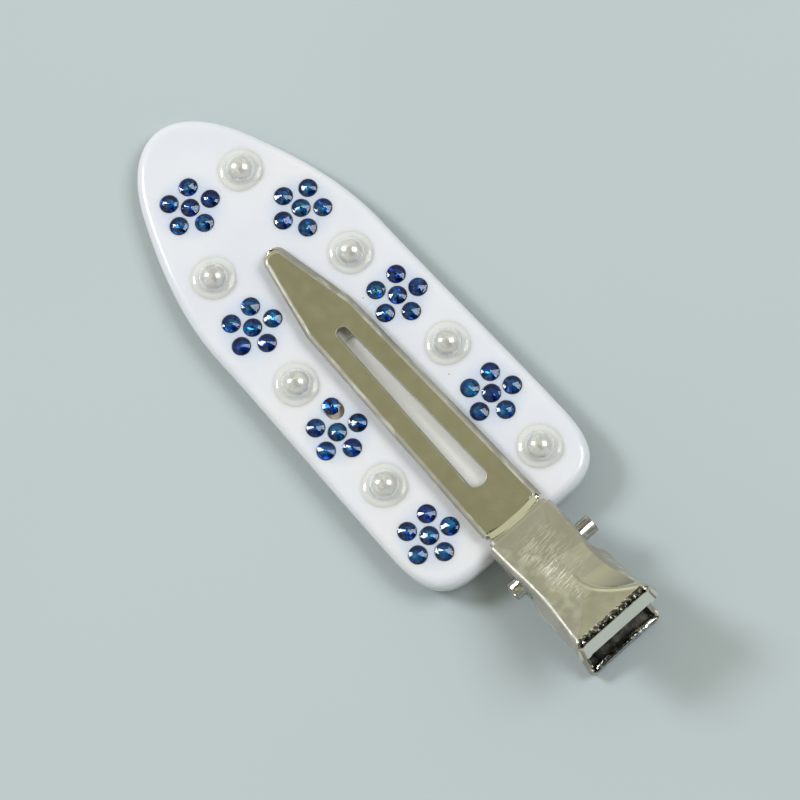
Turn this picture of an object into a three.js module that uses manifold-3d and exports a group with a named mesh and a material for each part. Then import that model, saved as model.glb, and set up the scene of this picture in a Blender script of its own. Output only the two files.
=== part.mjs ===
// A no-crease hair clip: a white resin plate set with stone flowers and half pearls, and a sprung
// steel clip with two slotted prongs glued along its middle.
//
// Millimetres. +X runs along the plate towards the finger tabs, +Y across it, +Z up out of the
// decorated face. The origin is the centre of the plate's flat back.

import * as THREE from 'three';
import { mergeVertices } from 'three/addons/utils/BufferGeometryUtils.js';
import Module from 'manifold-3d';

const wasm = await Module();
wasm.setup();

const rad = THREE.MathUtils.degToRad;

// ---------------------------------------------------------------- driving dimensions

const plate = { length: 57.7, thickness: 2.4, edgeRound: 0.8 };

const stone = { radius: 0.94, tableRadius: 0.47, crown: 0.38, girdle: 0.14, pavilion: 0.78, sides: 10 };
const stoneSocket = { radius: 1.04, depth: 0.95, sides: 10 };
const flowerRadius = 2.255;

const pearl = { radius: 1.62, rise: 1.35, sink: 0.85, collarRadius: 2.33, collarHeight: 0.42, sides: 14 };
const pearlSocket = { radius: 1.73, depth: 0.92, sides: 14 };

// Two rows of [x, y] seats, set by hand along the plate's edges; flowers and pearls take turns.
const leftRow = {
  seats: [
    [-19.8, -2.7], [-12.3, -5.85], [-5.6, -6.3], [2.0, -6.9], [8.6, -7.1], [16.0, -7.2], [22.9, -7.3],
  ],
  firstIsFlower: true,
};
const rightRow = {
  seats: [
    [-19.4, 3.85], [-12.0, 5.75], [-4.9, 6.35], [1.8, 6.9], [9.1, 7.25], [16.05, 7.1], [23.5, 7.0],
  ],
  firstIsFlower: false,
};
const flowerTurns = [1, -23, 1, -2, 1, -2, 1];
const slippedStone = { flower: 5, petal: 2, shiftX: -0.55 };

const sheet = 0.5;
const glue = 0.3;
const prongGap = 0.25;
const pivotX = 33.0;
const pivotZ = plate.thickness + glue + sheet + prongGap / 2;

const pin = { radius: 1.0, wall: 0.3, halfLength: 5.3, slit: 12, holeRadius: 1.08 };

// The two steel arms are the same stamping but for these sizes. Distances along the clip are from
// the pivot, negative towards the prong's tip.
const tabSlope = 18;
const upper = {
  tip: -43.05, bend: -5.6, tabLength: 15.0, slotStart: -32.13, slotEnd: -10.17,
  earCrease: 3.3, endCrease: 3.85, earRadius: 1.78, sideShift: -0.05,
};
const lower = {
  tip: -43.5, bend: -5.3, tabLength: 15.3, slotStart: -30.8, slotEnd: -10.1,
  earCrease: 2.05, endCrease: 3.6, earRadius: 1.62, sideShift: 0.2,
};
const prong = { tipRadius: 1.1, shoulder: 9.5, shoulderHalf: 2.8, rootHalf: 3.4 };
const slot = { tipRadius: 0.67, rootRadius: 1.14 };
const fold = { radius: 0.55, tabAngle: 78, rimAngle: 40, rimRadius: 0.4 };
const lip = { radius: 0.6, angle: 88, length: 0.8 };
const flangeDepth = 1.95;
const bendRadius = 2.2;
const notch = { radius: 0.5, y: 3.5, fromBend: 0.1 };

const spring = { strip: 0.3, halfWidth: 2.1, loopRadius: 1.15, legAngle: 18.8, legLength: 6.6 };

// ---------------------------------------------------------------- materials

const finish = (color, roughness, metalness) =>
  () => new THREE.MeshStandardMaterial({ color, roughness, metalness });

const resin = finish(0xe6e9f0, 0.18, 0);
const nickel = finish(0xb0ab98, 0.16, 1);
const springSteel = finish(0x8c8b86, 0.35, 1);
const sapphire = finish(0x123f8c, 0.05, 0.3);
const nacre = finish(0xe9e8e2, 0.2, 0);
const adhesive = finish(0xd9d9cc, 0.3, 0);

// ---------------------------------------------------------------- helpers

function toSolid(geometry) {
  const bare = geometry.index ? geometry.toNonIndexed() : geometry.clone();
  bare.deleteAttribute('normal');
  bare.deleteAttribute('uv');
  const merged = mergeVertices(bare, 1e-4);
  return new wasm.Manifold(new wasm.Mesh({
    numProp: 3,
    vertProperties: merged.attributes.position.array,
    triVerts: new Uint32Array(merged.index.array),
  }));
}

function toGeometry(solid) {
  const mesh = solid.getMesh();
  const geometry = new THREE.BufferGeometry();
  geometry.setAttribute('position', new THREE.BufferAttribute(mesh.vertProperties, 3));
  geometry.setIndex(new THREE.BufferAttribute(mesh.triVerts, 1));
  geometry.computeVertexNormals();
  return geometry;
}

function cutAway(geometry, cutters) {
  const cut = cutters.reduce((solid, cutter) => solid.subtract(toSolid(cutter)), toSolid(geometry));
  return toGeometry(cut);
}

function named(name, geometry, material) {
  const mesh = new THREE.Mesh(geometry, material());
  mesh.name = name;
  return mesh;
}

// An upright cylinder, or one that lies along Y.
const uprightCylinder = (radius, height, sides) =>
  new THREE.CylinderGeometry(radius, radius, height, sides).rotateX(Math.PI / 2);
const crossCylinder = (radius, length, sides) => new THREE.CylinderGeometry(radius, radius, length, sides);

// A solid turned about Z from a profile of [radius, height] pairs.
const turned = (profile, sides) =>
  new THREE.LatheGeometry(profile.map(([r, z]) => new THREE.Vector2(r, z)), sides).rotateX(Math.PI / 2);

// ---------------------------------------------------------------- layout of the decoration

function placesAlong(row) {
  return row.seats.map(([x, y], i) => ({ x, y, isFlower: (i % 2 === 0) === row.firstIsFlower }));
}

const places = [...placesAlong(leftRow), ...placesAlong(rightRow)].sort((a, b) => a.x - b.x);
const flowers = places.filter((place) => place.isFlower);
const pearls = places.filter((place) => !place.isFlower);

// Six stones to a flower: one in the middle and five petals, the first petal towards the tabs.
function flowerSeats(flower, number) {
  const turn = flowerTurns[number - 1];
  const seats = [{ name: `flower_${number}_centre`, x: flower.x, y: flower.y, slip: 0 }];
  for (let petal = 0; petal < 5; petal += 1) {
    const angle = rad(turn + 72 * petal);
    const slipped = number === slippedStone.flower && petal === slippedStone.petal;
    seats.push({
      name: `flower_${number}_petal_${petal + 1}`,
      x: flower.x + flowerRadius * Math.cos(angle),
      y: flower.y + flowerRadius * Math.sin(angle),
      slip: slipped ? slippedStone.shiftX : 0,
    });
  }
  return seats;
}

const seats = flowers.flatMap((flower, i) => flowerSeats(flower, i + 1));

// ---------------------------------------------------------------- plate

// Blunt nose, long shoulders, almost straight sides and two rounded lobes at the tail. The outline
// is drawn at the widest level, inset by the edge rounding that the bevel adds back.
function plateOutline() {
  const nose = -plate.length / 2;
  const tail = plate.length / 2;
  const half = [
    [0, 3.0, 2.93, 5.46, 6.5, 7.0],
    [9.9, 8.47, 16.4, 11.1, 23.0, 11.1],
    [32.0, 11.1, 42.0, 11.5, 51.0, 11.5],
    [55.6, 11.5, plate.length, 10.2, plate.length, 6.0],
  ];
  const shape = new THREE.Shape();
  shape.moveTo(nose, 0);
  for (const [ax, ay, bx, by, x, y] of half) {
    shape.bezierCurveTo(nose + ax, -ay, nose + bx, -by, nose + x, -y);
  }
  shape.lineTo(tail, 6.0);
  const starts = [[0, 0], ...half.map(([, , , , x, y]) => [x, y])];
  for (let i = half.length - 1; i >= 0; i -= 1) {
    const [ax, ay, bx, by] = half[i];
    const [x, y] = starts[i];
    shape.bezierCurveTo(nose + bx, by, nose + ax, ay, nose + x, y);
  }
  return shape;
}

function plateMesh() {
  const blank = new THREE.ExtrudeGeometry(plateOutline(), {
    depth: plate.thickness - 2 * plate.edgeRound,
    curveSegments: 8,
    bevelThickness: plate.edgeRound,
    bevelSize: plate.edgeRound,
    bevelOffset: -plate.edgeRound,
    bevelSegments: 2,
  }).translate(0, 0, plate.edgeRound);
  const over = 1;
  const socket = ({ x, y }, { radius, depth, sides }) =>
    uprightCylinder(radius, depth + over, sides).translate(x, y, plate.thickness + (over - depth) / 2);
  const sockets = [
    ...seats.map((seat) => socket(seat, stoneSocket)),
    ...pearls.map((place) => socket(place, pearlSocket)),
  ];
  return named('plate', cutAway(blank, sockets), resin);
}

// ---------------------------------------------------------------- stones and pearls

// A chaton: pointed back in the socket, round girdle just above the plate, flat table on top.
function stoneMesh(seat) {
  const girdleBase = 0.02;
  const girdleTop = girdleBase + stone.girdle;
  const isSlipped = seat.slip !== 0;
  const pavilion = isSlipped ? 0 : stone.pavilion;
  const profile = [
    [0, girdleBase - pavilion],
    [stone.radius, girdleBase],
    [stone.radius, girdleTop],
    [stone.tableRadius, girdleTop + stone.crown],
    [0, girdleTop + stone.crown],
  ];
  const mesh = named(seat.name, turned(profile, stone.sides), sapphire);
  mesh.position.set(seat.x + seat.slip, seat.y, plate.thickness);
  return mesh;
}

// A half pearl sunk in its socket, standing in a low collar of clear resin.
function pearlMesh(place, number) {
  const domeSteps = 5;
  const collarTop = pearl.collarHeight;
  const profile = [
    [0, -pearl.sink],
    [pearl.radius * 0.75, -pearl.sink],
    [pearl.radius, 0],
    [pearl.collarRadius, 0],
    [pearl.collarRadius - 0.12, 0.22],
    [pearl.radius + 0.1, collarTop],
  ];
  for (let step = 0; step <= domeSteps; step += 1) {
    const angle = (step / domeSteps) * (Math.PI / 2);
    profile.push([
      pearl.radius * Math.cos(angle),
      collarTop + (pearl.rise + 0.28 - collarTop) * Math.sin(angle),
    ]);
  }
  const mesh = named(`pearl_${number}`, turned(profile, pearl.sides), nacre);
  mesh.position.set(place.x, place.y, plate.thickness);
  return mesh;
}

// ---------------------------------------------------------------- steel arms

// The middle line of an arm's sheet, seen from the side: prong, bend, tab, and the lip that turns
// in at the tab's end. Each place has its turn, the angle that the sheet has bent outwards so far.
function armPath(arm) {
  const slope = rad(tabSlope);
  const lipTurn = rad(lip.angle);
  const legs = [
    { length: arm.bend - arm.tip, turn: 0 },
    { length: bendRadius * slope, turn: slope },
    { length: arm.tabLength, turn: 0 },
    { length: lip.radius * lipTurn, turn: -lipTurn },
    { length: lip.length, turn: 0 },
  ];
  return (distance) => {
    let left = distance;
    let turn = 0;
    let x = arm.tip;
    let z = (prongGap + sheet) / 2;
    for (const leg of legs) {
      const run = Math.min(left, leg.length);
      const bent = leg.turn * (run / leg.length);
      const middle = turn + bent / 2;
      const chord = bent === 0 ? run : (Math.sin(Math.abs(bent) / 2) / (Math.abs(bent) / 2)) * run;
      x += chord * Math.cos(middle);
      z += chord * Math.sin(middle);
      turn += bent;
      left -= run;
      if (left <= 0) {
        break;
      }
    }
    return { x, z, turn };
  };
}

// Distances along the sheet at which its section changes.
function armMarks(arm) {
  const bendStart = arm.bend - arm.tip;
  const tabStart = bendStart + bendRadius * rad(tabSlope);
  const tabEnd = tabStart + arm.tabLength;
  const lipStart = tabEnd + lip.radius * rad(lip.angle);
  const path = armPath(arm);
  const start = path(tabStart);
  const pivotFoot = tabStart - (start.x * Math.cos(start.turn) + start.z * Math.sin(start.turn));
  const foot = path(pivotFoot);
  const pivotDrop = Math.hypot(foot.x, foot.z);
  return { bendStart, tabStart, tabEnd, lipStart, end: lipStart + lip.length, pivotFoot, pivotDrop };
}

// How far the side flange reaches in from the sheet's middle line: the ear round the pivot, a
// notch behind it, and the tab's side wall, which stops short of the lip.
function flangeReach(distance, marks, arm) {
  const fromPivot = distance - marks.pivotFoot;
  const none = fold.radius + 0.05;
  if (distance < marks.tabStart + 0.45 || distance > marks.tabEnd - 0.25) {
    return none;
  }
  if (fromPivot < arm.earRadius) {
    const frontReach = 0.85;
    const earStart = marks.pivotFoot - arm.earRadius - marks.tabStart;
    const front = (distance - marks.tabStart) / earStart;
    const inEar = Math.sqrt(Math.max(0, arm.earRadius ** 2 - fromPivot ** 2));
    const straight = frontReach + (marks.pivotDrop - frontReach) * Math.min(1, front);
    return straight + inEar;
  }
  const notchEnd = arm.earRadius + 0.95;
  return fromPivot < notchEnd ? none + 0.1 : flangeDepth;
}

// Half widths of the flat middle, and the fold at each side: a shallow turned-down rim along the
// prong and a full side flange on the tab.
function armSection(distance, marks, arm) {
  if (distance <= marks.tabStart + 0.4) {
    const { tipRadius, shoulder, shoulderHalf, rootHalf } = prong;
    const taperStart = tipRadius;
    let half = Math.sqrt(Math.max(0, tipRadius ** 2 - (tipRadius - Math.min(distance, tipRadius)) ** 2));
    if (distance > taperStart) {
      const t = Math.min(1, (distance - taperStart) / (shoulder - taperStart));
      half = tipRadius + (shoulderHalf - tipRadius) * t;
    }
    if (distance > shoulder) {
      const t = Math.min(1, (distance - shoulder) / (marks.bendStart - shoulder));
      half = shoulderHalf + (rootHalf - shoulderHalf) * t;
    }
    const angle = rad(fold.rimAngle);
    const radius = Math.min(fold.rimRadius, half * 0.4);
    return { flat: half - radius * Math.sin(angle) - 0.05, radius, angle, reach: radius * 0.3 };
  }
  const along = (distance - marks.tabStart) / (marks.tabEnd - marks.tabStart);
  const crease = arm.earCrease + (arm.endCrease - arm.earCrease) * Math.max(0, (along - 0.35) / 0.65);
  if (distance > marks.tabEnd - 0.1) {
    return { flat: arm.endCrease, radius: fold.radius, angle: rad(20), reach: 0.12 };
  }
  const isEar = distance - marks.pivotFoot < arm.earRadius + 0.5;
  const angle = rad(isEar ? 90 : fold.tabAngle);
  return { flat: crease, radius: fold.radius, angle, reach: flangeReach(distance, marks, arm) };
}

// Where one corner of the bent sheet lies. Across the sheet there are six steps to each side: two
// on the flat, three round the fold and one down the flange.
function sheetPoint(distance, step, side, path, marks, arm) {
  const { flat, radius, angle, reach } = armSection(distance, marks, arm);
  const count = Math.abs(step);
  const folded = angle * THREE.MathUtils.clamp((count - 2) / 3, 0, 1);
  let across = flat * Math.min(count, 2) / 2 + radius * Math.sin(folded);
  let inward = radius * (1 - Math.cos(folded));
  if (count === 6) {
    const straight = Math.max(0.03, (reach - inward) / Math.max(0.3, Math.sin(angle)));
    across += straight * Math.cos(angle);
    inward += straight * Math.sin(angle);
  }
  across += side * Math.sin(folded);
  inward -= side * Math.cos(folded);
  const { x, z, turn } = path(distance);
  return new THREE.Vector3(
    x + inward * Math.sin(turn),
    Math.sign(step) * across,
    z - inward * Math.cos(turn),
  );
}

// Stations along the sheet, close together where it bends or its outline turns.
function armStations(marks, arm) {
  const between = (from, to, count) =>
    Array.from({ length: count }, (_, i) => from + ((to - from) * i) / count);
  const earFront = marks.pivotFoot - arm.earRadius;
  const earBack = marks.pivotFoot + arm.earRadius;
  const ear = Array.from({ length: 9 }, (_, i) =>
    marks.pivotFoot - arm.earRadius * Math.cos((Math.PI * i) / 8));
  return [
    0.08, 0.25, 0.55, 0.85, prong.tipRadius,
    ...between(3.5, prong.shoulder, 2),
    prong.shoulder,
    ...between(17, marks.bendStart - 1, 2),
    ...between(marks.bendStart, marks.tabStart, 3),
    marks.tabStart, marks.tabStart + 0.4, marks.tabStart + 0.5, earFront - 0.02,
    ...ear.slice(0, -1), earBack - 0.001, earBack + 0.02,
    earBack + 0.9, earBack + 1.0,
    ...between(earBack + 2.5, marks.tabEnd - 0.3, 2),
    marks.tabEnd - 0.3, marks.tabEnd - 0.2, marks.tabEnd,
    ...between(marks.tabEnd, marks.lipStart, 4).slice(1),
    marks.lipStart, marks.end,
  ];
}

function armBlank(arm) {
  const path = armPath(arm);
  const marks = armMarks(arm);
  const stations = armStations(marks, arm);
  const lengthSteps = stations.length - 1;
  const acrossSteps = 12;
  const geometry = new THREE.BoxGeometry(1, 1, 1, lengthSteps, acrossSteps, 1);
  const position = geometry.attributes.position;
  for (let i = 0; i < position.count; i += 1) {
    const station = stations[Math.round((position.getX(i) + 0.5) * lengthSteps)];
    const step = Math.round(position.getY(i) * acrossSteps);
    const side = position.getZ(i) * sheet;
    const point = sheetPoint(station, step, side, path, marks, arm);
    position.setXYZ(i, point.x, point.y, point.z);
  }
  return geometry;
}

// The slot narrows from the root of the prong to its tip, with a round at each end.
function traceSlot(path, startX, endX, grow) {
  const tipRadius = slot.tipRadius + grow;
  const rootRadius = slot.rootRadius + grow;
  path.absarc(endX + grow - rootRadius, 0, rootRadius, -Math.PI / 2, Math.PI / 2, false);
  path.absarc(startX - grow + tipRadius, 0, tipRadius, Math.PI / 2, (3 * Math.PI) / 2, false);
  path.closePath();
  return path;
}

function slotCutter(arm) {
  const shape = traceSlot(new THREE.Shape(), arm.slotStart, arm.slotEnd, 0);
  return new THREE.ExtrudeGeometry(shape, { depth: 4, bevelEnabled: false, curveSegments: 8 })
    .translate(0, 0, -1);
}

function armMesh(name, arm) {
  const notches = [-1, 1].map((side) =>
    uprightCylinder(notch.radius, 3, 12).translate(arm.bend + notch.fromBend, side * notch.y, 0.5));
  const pinHole = crossCylinder(pin.holeRadius, 12, 24);
  return named(name, cutAway(armBlank(arm), [slotCutter(arm), pinHole, ...notches]), nickel);
}

// ---------------------------------------------------------------- pivot pin and spring

// A rolled tube with a slit along its top.
function pinMesh() {
  const slitStart = Math.PI / 2 - rad(pin.slit / 2);
  const slitEnd = Math.PI / 2 + rad(pin.slit / 2);
  const fullTurn = 2 * Math.PI;
  const shape = new THREE.Shape();
  shape.absarc(0, 0, pin.radius, slitEnd, slitStart + fullTurn, false);
  shape.absarc(0, 0, pin.radius - pin.wall, slitStart + fullTurn, slitEnd, true);
  const tube = new THREE.ExtrudeGeometry(shape, {
    depth: 2 * pin.halfLength, bevelEnabled: false, curveSegments: 20,
  });
  return named('pivot_pin', tube.translate(0, 0, -pin.halfLength).rotateX(Math.PI / 2), nickel);
}

// A strip of spring steel looped round the pin, a leg against the inside of each tab.
function springMesh() {
  const inner = spring.loopRadius;
  const outer = inner + spring.strip;
  const leg = rad(spring.legAngle);
  const turn = Math.PI / 2 + leg;
  const end = (radius, sign) => [
    radius * Math.cos(turn) + spring.legLength * Math.cos(leg),
    sign * (radius * Math.sin(turn) + spring.legLength * Math.sin(leg)),
  ];
  const shape = new THREE.Shape();
  shape.moveTo(...end(outer, 1));
  shape.absarc(0, 0, outer, turn, 2 * Math.PI - turn, false);
  shape.lineTo(...end(outer, -1));
  shape.lineTo(...end(inner, -1));
  shape.absarc(0, 0, inner, 2 * Math.PI - turn, turn, true);
  shape.lineTo(...end(inner, 1));
  const strip = new THREE.ExtrudeGeometry(shape, {
    depth: 2 * spring.halfWidth, bevelEnabled: false, curveSegments: 12,
  });
  return named('spring', strip.translate(0, 0, -spring.halfWidth).rotateX(Math.PI / 2), springSteel);
}

// ---------------------------------------------------------------- glue under the lower prong

function glueMesh() {
  const inset = 0.45;
  const tip = pivotX + lower.tip + inset;
  const shoulder = pivotX + lower.tip + prong.shoulder;
  const root = pivotX + lower.bend - 1.2;
  const shape = new THREE.Shape();
  shape.moveTo(tip, -0.5);
  shape.lineTo(shoulder, -prong.shoulderHalf + inset);
  shape.lineTo(root, -prong.rootHalf + inset);
  shape.lineTo(root, prong.rootHalf - inset);
  shape.lineTo(shoulder, prong.shoulderHalf - inset);
  shape.lineTo(tip, 0.5);
  shape.holes.push(traceSlot(new THREE.Path(), pivotX + lower.slotStart, pivotX + lower.slotEnd, 0.25));
  const clearance = 0.02;
  const pad = new THREE.ExtrudeGeometry(shape, {
    depth: glue - clearance, bevelEnabled: false, curveSegments: 8,
  });
  return named('glue_layer', pad.translate(0, lower.sideShift, plate.thickness), adhesive);
}

// ---------------------------------------------------------------- assembly

const lowerArm = armMesh('lower_arm', lower);
lowerArm.rotation.x = Math.PI;
const lowerHalf = new THREE.Group();
lowerHalf.position.y = lower.sideShift;
lowerHalf.add(lowerArm, pinMesh(), springMesh());

const upperArm = armMesh('upper_arm', upper);
upperArm.position.y = upper.sideShift;

const clip = new THREE.Group();
clip.position.set(pivotX, 0, pivotZ);
clip.add(upperArm, lowerHalf);

const hairClip = new THREE.Group();
hairClip.add(plateMesh(), glueMesh(), clip);
seats.forEach((seat) => hairClip.add(stoneMesh(seat)));
pearls.forEach((place, i) => hairClip.add(pearlMesh(place, i + 1)));

export default hairClip;
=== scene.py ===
"""The looks of a sprung hair clip: a white resin plate set with blue stone flowers and half pearls,
and a nickel-plated clip with two slotted prongs glued along it.

Shapes are worked out in millimetres and go into Blender in metres. +X runs along the plate towards
the finger tabs, +Y across it and +Z out of the decorated face."""

import math
import random

import bmesh
import bpy
from mathutils import Matrix, Vector


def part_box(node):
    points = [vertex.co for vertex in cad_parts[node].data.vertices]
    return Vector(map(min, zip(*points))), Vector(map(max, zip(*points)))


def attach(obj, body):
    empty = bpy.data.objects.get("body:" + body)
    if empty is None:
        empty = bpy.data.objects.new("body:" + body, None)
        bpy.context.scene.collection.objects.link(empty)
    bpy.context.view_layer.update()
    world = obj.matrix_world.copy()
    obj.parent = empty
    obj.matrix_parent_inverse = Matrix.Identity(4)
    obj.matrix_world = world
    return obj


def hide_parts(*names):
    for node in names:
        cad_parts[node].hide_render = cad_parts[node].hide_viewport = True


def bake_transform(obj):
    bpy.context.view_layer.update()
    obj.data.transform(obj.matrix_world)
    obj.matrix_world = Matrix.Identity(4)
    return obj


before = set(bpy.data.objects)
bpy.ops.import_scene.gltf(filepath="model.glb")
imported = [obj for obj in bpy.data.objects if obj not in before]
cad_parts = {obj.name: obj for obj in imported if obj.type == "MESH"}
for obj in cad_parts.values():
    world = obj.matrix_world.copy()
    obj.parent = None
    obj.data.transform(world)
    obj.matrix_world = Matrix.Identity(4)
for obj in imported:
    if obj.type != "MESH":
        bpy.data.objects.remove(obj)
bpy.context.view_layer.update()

MM = 0.001
STATIC_BODY = "plate_and_lower_arm"
MOVING_BODY = "upper_arm"


def box_mm(node):
    """The lowest and highest corners of a CAD node, in millimetres."""
    low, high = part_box(node)
    return low / MM, high / MM


def box_center(node):
    low, high = box_mm(node)
    return (low + high) / 2


PLATE_LOW, PLATE_HIGH = box_mm("plate")
PLATE_TOP = PLATE_HIGH.z
PIN_LOW, PIN_HIGH = box_mm("pivot_pin")
PIVOT = (PIN_LOW + PIN_HIGH) / 2
PIN_RADIUS = (PIN_HIGH.z - PIN_LOW.z) / 2
SIDE_PLAY = PIVOT.y

STONES = sorted(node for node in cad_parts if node.startswith("flower_"))
PEARLS = sorted(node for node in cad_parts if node.startswith("pearl_"))
SLIPPED_STONE = "flower_5_petal_3"
SLIPPED_SEAT_SHIFT = 0.55
SLIPPED_LIFT = 0.18

STONE_RADIUS = 0.93
SEAT_RADIUS = 0.96
SEAT_DEPTH = 0.95
PEARL_RADIUS = 1.62
COLLAR_RADIUS = 2.33

# The steel sheet, and what both arms share.
SHEET = 0.5
PRONG_GAP = 0.25
TIP_RADIUS = 1.1
SHOULDER = 9.5
SHOULDER_HALF = 2.8
ROOT_HALF = 3.4
SLOT_TIP_RADIUS = 0.67
SLOT_ROOT_RADIUS = 1.14
RIM_WIDTH = 0.34
RIM_RADIUS = 0.42
BEND_LENGTH = 0.95
BEND_BOW = 0.4
TAB_SLOPE = math.radians(18)
FOLD_RADIUS = 0.36
FLANGE_DEPTH = 1.95
LIP_DEPTH = 1.4
CORNER_RADIUS = 0.2
RIDGE_RISE = 0.3
RIDGE_PLACE = 8.0
WAIST_PLACE = 8.6
FRONT_CREASE_HALF = 3.3
FRONT_CREASE_LENGTH = 6.4
END_CREASE_HALF = 3.6
END_CREASE_LENGTH = 6
CREASE_SOFTNESS = 0.15
BEAD_HEIGHT = 0.02
BEAD_WIDTH = 0.26
EAR_FRONT_DEPTH = 0.85
END_FLARE = 12
CORNER_PINCH = 0.36
FAN_LENGTH = 3.2
NOTCH_RADIUS = 0.5
NOTCH_ACROSS = 3.5

# What differs between the tab's two sides, at -Y and +Y.
FACET_SLOPES = {-1: 0.09, 1: 0.255}
WAIST_DEPTH = {-1: 0.25, 1: 0.6}
WAIST_FLARE = {-1: 20, 1: 34}

# Distances along the clip are from the pivot, negative towards the prong's tip.
UPPER = {
    "tip": -43.05, "bend": -5.73, "tab": 14.87, "slot_start": -32.13, "slot_end": -10.17,
    "ear_crease": 3.48, "end_crease": 4.0, "ear_radius": 1.78, "play": -0.05,
    "lip_angle": 65, "lip_fold": 0.8, "setback": 0.5, "lip_bow": 0.0, "crumpled": 5,
}
LOWER = {
    "tip": -43.5, "bend": -5.43, "tab": 15.17, "slot_start": -32.4, "slot_end": -10.1,
    "ear_crease": 2.23, "end_crease": 3.78, "ear_radius": 1.62, "play": SIDE_PLAY,
    "lip_angle": 112, "lip_fold": 0.6, "setback": 0.02, "lip_bow": 0.4, "crumpled": 11,
}


# ------------------------------------------------------------------ mesh helpers


def new_object(name, vertices, faces, materials, smooth_below=35.0, face_slots=None):
    """A mesh object from points in millimetres, with edges sharper than the angle left sharp."""
    mesh = bpy.data.meshes.new(name)
    mesh.from_pydata([Vector(v) * MM for v in vertices], [], faces)
    mesh.validate()
    for material in materials:
        mesh.materials.append(material)
    if face_slots:
        mesh.polygons.foreach_set("material_index", face_slots)
    mesh.polygons.foreach_set("use_smooth", [smooth_below > 0] * len(mesh.polygons))
    if smooth_below > 0:
        mesh.set_sharp_from_angle(angle=math.radians(smooth_below))
    piece = bpy.data.objects.new(name, mesh)
    bpy.context.scene.collection.objects.link(piece)
    return piece


def point_normals_out(piece):
    """Makes every face of a closed mesh look outwards."""
    work = bmesh.new()
    work.from_mesh(piece.data)
    bmesh.ops.recalc_face_normals(work, faces=work.faces)
    work.to_mesh(piece.data)
    work.free()


def bake_modifiers(piece):
    """Replaces a piece's mesh by the one its modifiers make."""
    bpy.context.view_layer.update()
    shown = piece.evaluated_get(bpy.context.evaluated_depsgraph_get())
    piece.data = bpy.data.meshes.new_from_object(shown)
    piece.modifiers.clear()


def cut(piece, cutters):
    """Takes the cutters, which are removed afterwards, out of a piece."""
    for cutter in cutters:
        point_normals_out(cutter)
        boolean = piece.modifiers.new("cut", "BOOLEAN")
        boolean.operation = "DIFFERENCE"
        boolean.solver = "EXACT"
        boolean.object = cutter
    bake_modifiers(piece)
    for cutter in cutters:
        bpy.data.objects.remove(cutter)


def keep_flats_flat(piece, smooth_below=35.0):
    """Smooth shading in which a wide flat face keeps its own normal."""
    mesh = piece.data
    mesh.polygons.foreach_set("use_smooth", [True] * len(mesh.polygons))
    mesh.set_sharp_from_angle(angle=math.radians(smooth_below))
    weighted = piece.modifiers.new("weighted normals", "WEIGHTED_NORMAL")
    weighted.keep_sharp = True
    weighted.weight = 100


def ring_faces(rows, columns):
    """Quads between successive rings of points."""
    faces = []
    for row in range(rows - 1):
        for column in range(columns):
            following = (column + 1) % columns
            a = row * columns
            b = a + columns
            faces.append((a + column, a + following, b + following, b + column))
    return faces


def tube_faces(rows, columns):
    """Quads between successive rings of points, and a cap on the first and last of them."""
    last = (rows - 1) * columns
    caps = [tuple(reversed(range(columns))), tuple(range(last, last + columns))]
    return ring_faces(rows, columns) + caps


def lathe(profile, sides, center=(0, 0, 0), wobble=None):
    """Points and faces of a solid turned about Z from (radius, height) pairs, both ends capped.
    wobble gives a factor on the radius at each angle."""
    points = []
    for radius, height in profile:
        for side in range(sides):
            angle = 2 * math.pi * side / sides
            reach = radius * (wobble(angle) if wobble else 1)
            x = center[0] + reach * math.cos(angle)
            y = center[1] + reach * math.sin(angle)
            points.append((x, y, center[2] + height))
    return points, tube_faces(len(profile), sides)


# ------------------------------------------------------------------ material helpers


METAL = {"Metallic": 1.0}


def new_material(name):
    material = bpy.data.materials.new(name)
    material.use_nodes = True
    return material, material.node_tree


def finish(material, color, rough, settings=None):
    """Gives a material its colour and roughness, and other shader inputs by name."""
    tree = material.node_tree
    inputs = tree.nodes["Principled BSDF"].inputs
    tree.links.new(color, inputs["Base Color"])
    if isinstance(rough, float):
        inputs["Roughness"].default_value = rough
    else:
        tree.links.new(rough, inputs["Roughness"])
    for name, value in (settings or {}).items():
        inputs[name].default_value = value
    return material


def object_coordinates(tree):
    return tree.nodes.new("ShaderNodeTexCoord").outputs["Object"]


def noise(tree, scale, detail=2.0, stretch=(1, 1, 1), turn=0.0, distortion=0.0):
    """Noise of a given scale per metre, finer by stretch along axes that are turned about Z."""
    mapping = tree.nodes.new("ShaderNodeMapping")
    mapping.vector_type = "TEXTURE"
    mapping.inputs["Scale"].default_value = [1 / s for s in stretch]
    mapping.inputs["Rotation"].default_value = (0, 0, turn)
    tree.links.new(object_coordinates(tree), mapping.inputs["Vector"])
    texture = tree.nodes.new("ShaderNodeTexNoise")
    texture.inputs["Scale"].default_value = scale
    texture.inputs["Detail"].default_value = detail
    texture.inputs["Distortion"].default_value = distortion
    tree.links.new(mapping.outputs["Vector"], texture.inputs["Vector"])
    return texture.outputs["Fac"]


def remap(tree, value, low, high, to_low=0.0, to_high=1.0):
    """value moved smoothly from one range to another, and held inside it."""
    node = tree.nodes.new("ShaderNodeMapRange")
    node.interpolation_type = "SMOOTHSTEP"
    for name, bound in zip(("From Min", "From Max", "To Min", "To Max"), (low, high, to_low, to_high)):
        node.inputs[name].default_value = bound
    tree.links.new(value, node.inputs["Value"])
    return node.outputs["Result"]


def cloud(tree, scale, detail, low, high, **shape):
    """0 where noise is under low, 1 where it is over high."""
    return remap(tree, noise(tree, scale, detail, **shape), low, high)


def uneven(tree, scale, detail, least, most):
    """A value that wanders between two others, for roughness."""
    return remap(tree, noise(tree, scale, detail), 0.3, 0.7, least, most)


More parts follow.
